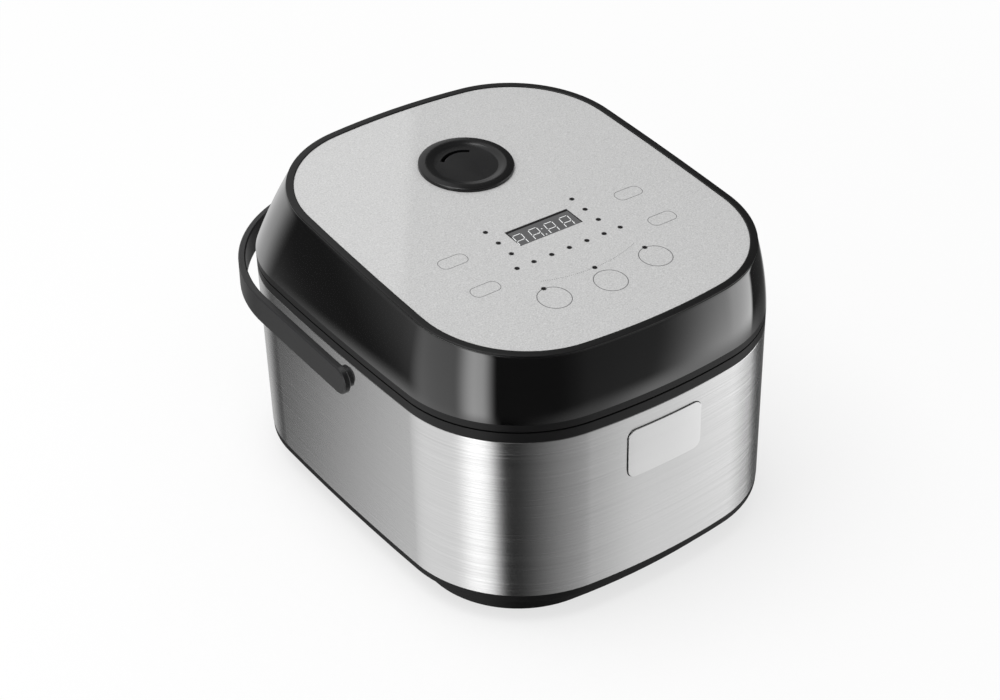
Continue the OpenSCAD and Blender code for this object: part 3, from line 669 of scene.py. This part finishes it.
def floor():
    """A pale floor that keeps the shadow, and grows white for the camera further out."""
    mesh = bpy.data.meshes.new("floor")
    f = FLOOR_SIZE
    mesh.from_pydata([(-f, -f, 0), (f, -f, 0), (f, f, 0), (-f, f, 0)], [], [(0, 1, 2, 3)])
    obj = bpy.data.objects.new("floor", mesh)
    scene.collection.objects.link(obj)
    k = Look("floor", (0.97, 0.97, 0.97), 0.9, specular=0.0)
    k.vary_colour(k.noise(3), 0.005)
    white, mix = k.node("ShaderNodeEmission"), k.node("ShaderNodeMixShader")
    path = k.node("ShaderNodeLightPath")
    far = k.node("ShaderNodeVectorMath", operation="LENGTH")
    k.links.new(k.coords, far.inputs[0])
    glow = k.span(far.outputs["Value"], FLOOR_GLOW, 1.0, 0.3, 1.3)
    share = k.node("ShaderNodeMath", operation="MULTIPLY")
    k.links.new(glow, share.inputs[1])
    k.links.new(path.outputs["Is Camera Ray"], share.inputs[0])
    k.links.new(share.outputs[0], mix.inputs["Fac"])
    k.links.new(k.bsdf.outputs[0], mix.inputs[1])
    k.links.new(white.outputs[0], mix.inputs[2])
    k.links.new(mix.outputs[0], k.tree.nodes["Material Output"].inputs["Surface"])
    mesh.materials.append(k.mat)
    obj.visible_glossy = False


AMBIENT = 0.6       # what matt surfaces get from all sides
FLOOR_GLOW = 0.7    # share of plain white that the camera sees in the floor by the object
FLOOR_SIZE = 6.0
KEY_SIZE, KEY_PLACE, KEY_WATTS = 1.6, (-0.6, 0.2, 2.2), 26
floor()
# What metal and gloss see of the studio: cards of light on the left and the right, and dark
# between them. A card starts, is full from and to, and ends at a compass heading (0 back,
# 90 right, 180 front, 270 left), and has a level. Cards add up where they overlap.
TABLE_CARDS = [
    (230, 244, 322, 340, 1.0), (70, 140, 152, 230, 0.5), (80, 132, 143, 158, 0.62),
    (40, 60, 85, 110, 0.1), (-1, 0, 45, 65, 0.6), (342, 358, 361, 362, 0.35),
]
WALL_CARDS = [
    (234, 247, 251, 270, 2.9), (240, 262, 298, 321, 0.78), (324, 352, 361, 362, 0.58),
    (-1, 0, 15, 45, 0.58), (96, 101, 124, 148, 2.0), (120, 138, 142, 190, 0.14),
    (-2, -1, 361, 362, 0.05),
]
ROOF_CARDS = [
    (-1, 0, 35.7, 36.3, 0.7), (75, 100, 140, 175, 0.35), (215, 245, 290, 330, 0.35),
    (310, 335, 361, 362, 0.7), (-2, -1, 361, 362, 0.1),
]

world = bpy.data.worlds.new("studio")
scene.world = world
world.use_nodes = True
tree = world.node_tree
back = tree.nodes["Background"]
back.inputs["Color"].default_value = (1, 1, 1, 1)


def world_math(operation, a, b=None, c=None):
    n = tree.nodes.new("ShaderNodeMath")
    n.operation = operation
    for socket, value in zip(n.inputs, (a, b, c)):
        if isinstance(value, (int, float)):
            socket.default_value = value
        elif value is not None:
            tree.links.new(value, socket)
    return n.outputs[0]


def world_step(value, lo, hi, at_lo, at_hi):
    """A smooth step from one number to another."""
    n = tree.nodes.new("ShaderNodeMapRange")
    n.interpolation_type = "SMOOTHSTEP"
    for name, number in zip(("From Min", "From Max", "To Min", "To Max"), (lo, hi, at_lo, at_hi)):
        n.inputs[name].default_value = number
    tree.links.new(value, n.inputs["Value"])
    return n.outputs["Result"]


def card_sum(heading, cards):
    """The light of all the cards at a heading."""
    total = 0.0
    for start, full_from, full_to, end, level in cards:
        rise = world_step(heading, start, full_from, 0, level)
        fall = world_step(heading, full_to, end, 1, 0)
        total = world_math("MULTIPLY_ADD", rise, fall, total)
    return total


def world_blend(value, lo, hi, below, above):
    """One input below lo, the other above hi."""
    share = world_step(value, lo, hi, 0, 1)
    return world_math("MULTIPLY_ADD", share, world_math("SUBTRACT", above, below), below)


split = tree.nodes.new("ShaderNodeSeparateXYZ")
tree.links.new(tree.nodes.new("ShaderNodeTexCoord").outputs["Generated"], split.inputs[0])
turn = world_math("ARCTAN2", split.outputs["X"], split.outputs["Y"])
share = world_math("FRACT", world_math("MULTIPLY_ADD", turn, 0.5 / math.pi, 1.0))
heading = world_math("MULTIPLY", share, 360)
table, wall, roof = (card_sum(heading, cards) for cards in (TABLE_CARDS, WALL_CARDS, ROOF_CARDS))
# the height of the ray's direction where one zone gives way to the next
TABLE_TO_WALL, WALL_TO_ROOF = (-0.52, -0.42), (0.1, 0.3)
seen = world_blend(split.outputs["Z"], *TABLE_TO_WALL, table, wall)
seen = world_blend(split.outputs["Z"], *WALL_TO_ROOF, seen, roof)
path = tree.nodes.new("ShaderNodeLightPath")
white = world_math("MAXIMUM", path.outputs["Is Camera Ray"], path.outputs["Is Transmission Ray"])
glossy = world_math("MULTIPLY", path.outputs["Is Glossy Ray"], world_math("SUBTRACT", 1, white))
strength = world_math("MULTIPLY_ADD", white, 1 - AMBIENT, AMBIENT)
strength = world_math("MULTIPLY_ADD", glossy, world_math("SUBTRACT", seen, strength), strength)
tree.links.new(strength, back.inputs["Strength"])
soft_box("key", KEY_SIZE, KEY_PLACE, (0, 0, 0.1), KEY_WATTS)

CAM_POS = Vector((-0.6643, -0.94693, 0.86457))
CAM_TARGET = Vector((-0.00806, -0.0112, 0.0969))
CAM_ROLL = math.radians(-1.512)
cam = bpy.data.cameras.new("camera")
cam.lens, cam.sensor_width, cam.sensor_fit = 72.29, 36.0, "HORIZONTAL"
cam.clip_start, cam.clip_end = 0.05, 50
eye = bpy.data.objects.new("camera", cam)
scene.collection.objects.link(eye)
ahead = (CAM_TARGET - CAM_POS).normalized()
side = ahead.cross(Vector((0, 0, 1))).normalized()
up = side.cross(ahead)
c, s = math.cos(CAM_ROLL), math.sin(CAM_ROLL)
right, top = side * c + up * s, up * c - side * s
eye.matrix_world = Matrix((
    (right.x, top.x, -ahead.x, CAM_POS.x), (right.y, top.y, -ahead.y, CAM_POS.y),
    (right.z, top.z, -ahead.z, CAM_POS.z), (0, 0, 0, 1)))
scene.camera = eye

scene.view_settings.view_transform = "Standard"
